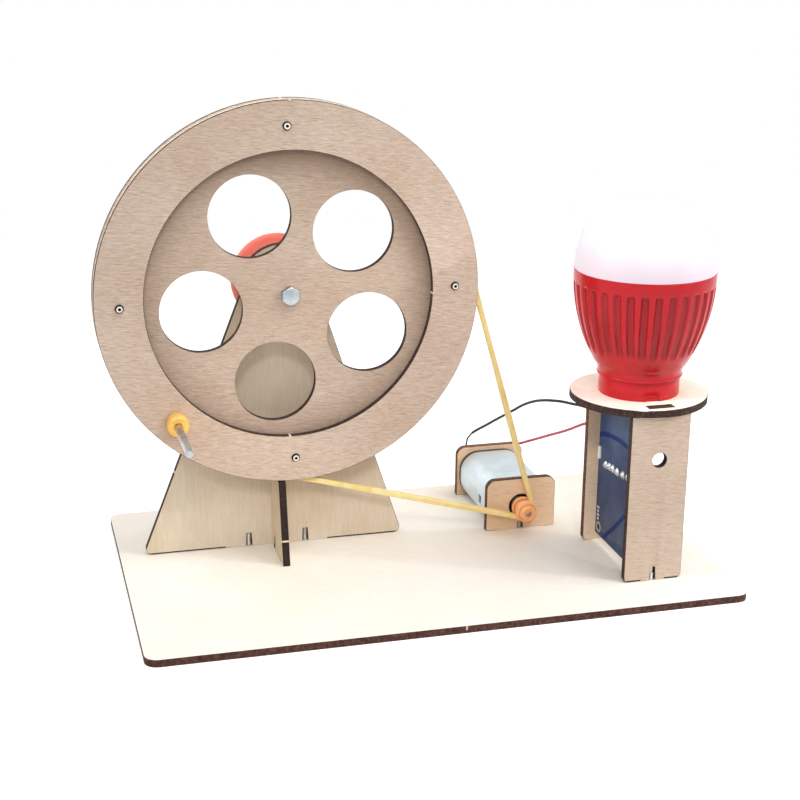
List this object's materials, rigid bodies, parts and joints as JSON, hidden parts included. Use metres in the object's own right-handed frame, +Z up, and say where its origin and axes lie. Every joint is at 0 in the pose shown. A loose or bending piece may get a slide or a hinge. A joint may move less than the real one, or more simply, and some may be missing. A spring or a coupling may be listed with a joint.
{
  "type": "hand crank generator",
  "caption": "Plywood hand crank generator: a large crank wheel turns a small motor by a round belt and lights a plug-in lamp on a tower.",
  "frame": {"origin": "middle of the base plate's underside", "axes": "+X along the base's front edge towards the lamp, +Y to the back, +Z up"},
  "size_m": [0.2448, 0.144, 0.191],
  "materials": {
    "plywood": "laser-cut birch plywood with burnt edges",
    "plywood_base": "pale laser-cut birch plywood",
    "steel": "bright zinc-plated steel",
    "motor_steel": "smooth plated steel can",
    "orange_plastic": "moulded orange plastic",
    "rear_red": "moulded light red plastic",
    "lamp_red": "glossy red plastic",
    "diffuser": "frosted white plastic",
    "white_plastic": "natural nylon",
    "black_plastic": "black moulded plastic",
    "belt_rubber": "amber elastic cord",
    "wire_black": "dark grey insulation",
    "wire_red": "pinkish red insulation",
    "board_blue": "blue solder mask",
    "board_green": "green solder mask",
    "component": "dark moulded components",
    "ferrite": "sintered ferrite",
    "core_iron": "stamped iron sheets",
    "copper": "enamelled copper",
    "brass": "bright brass",
    "bronze": "sintered bronze",
    "aluminium": "bare aluminium",
    "led": "yellow phosphor"
  },
  "bodies": {
    "frame": {"base_plate": "plywood_base", "wheel_stand": "plywood", "stand_fin": "plywood", "base_screws": "steel", "bracket_screws": "steel", "motor_front_bracket": "plywood", "motor_rear_bracket": "plywood", "motor_can": "motor_steel", "motor_end_cap": "black_plastic", "motor_magnets": "ferrite", "motor_front_bearing": "bronze", "motor_rear_bearing": "bronze", "motor_brushes": "brass", "motor_terminals": "brass", "drive_belt": "belt_rubber", "black_wire": "wire_black", "red_wire": "wire_red", "tower_front_plate": "plywood", "tower_rear_plate": "plywood", "lamp_table": "plywood", "circuit_board": "board_blue", "usb_socket_shell": "steel", "usb_socket_body": "white_plastic", "board_inductor": "ferrite", "board_capacitor": "component", "board_regulator": "component", "board_diodes": "component"},
    "wheel": {"wheel_front_ring": "plywood", "wheel_disc": "plywood", "wheel_back_ring": "plywood", "wheel_screws": "steel", "wheel_nuts": "steel", "wheel_axle": "steel", "axle_nut": "steel", "axle_sleeve": "white_plastic", "rear_wheel": "rear_red"},
    "handle": {"crank_pin": "steel", "crank_collar": "orange_plastic", "crank_rear_collar": "orange_plastic"},
    "rotor": {"motor_shaft": "steel", "armature_core": "core_iron", "armature_windings": "copper", "commutator": "copper", "motor_pulley": "orange_plastic"},
    "lamp": {"lamp_housing": "lamp_red", "lamp_collar": "lamp_red", "lamp_diffuser": "diffuser", "lamp_led_plate": "aluminium", "lamp_leds": "led", "lamp_driver_board": "board_green", "usb_plug_shell": "steel", "usb_plug_tongue": "white_plastic"}
  },
  "joints": [
    {"name": "wheel_turn", "type": "hinge", "parent": "frame", "child": "wheel", "pos_m": [-0.049, 0.0105, 0.1142], "axis": [0, 1, 0], "continuous": true},
    {"name": "handle_spin", "type": "hinge", "parent": "wheel", "child": "handle", "pos_m": [-0.09567, -0.01, 0.06571], "axis": [0, 1, 0], "continuous": true},
    {"name": "rotor_spin", "type": "hinge", "parent": "frame", "child": "rotor", "pos_m": [0.0524, 0.03, 0.0136], "axis": [0, 1, 0], "continuous": true},
    {"name": "lamp_pull", "type": "slide", "parent": "frame", "child": "lamp", "axis": [0, 0, 1], "range_m": [0, 0.014]}
  ],
  "couplings": [
    {"joint": "rotor_spin", "follows": "wheel_turn", "ratio": 17.78}
  ]
}
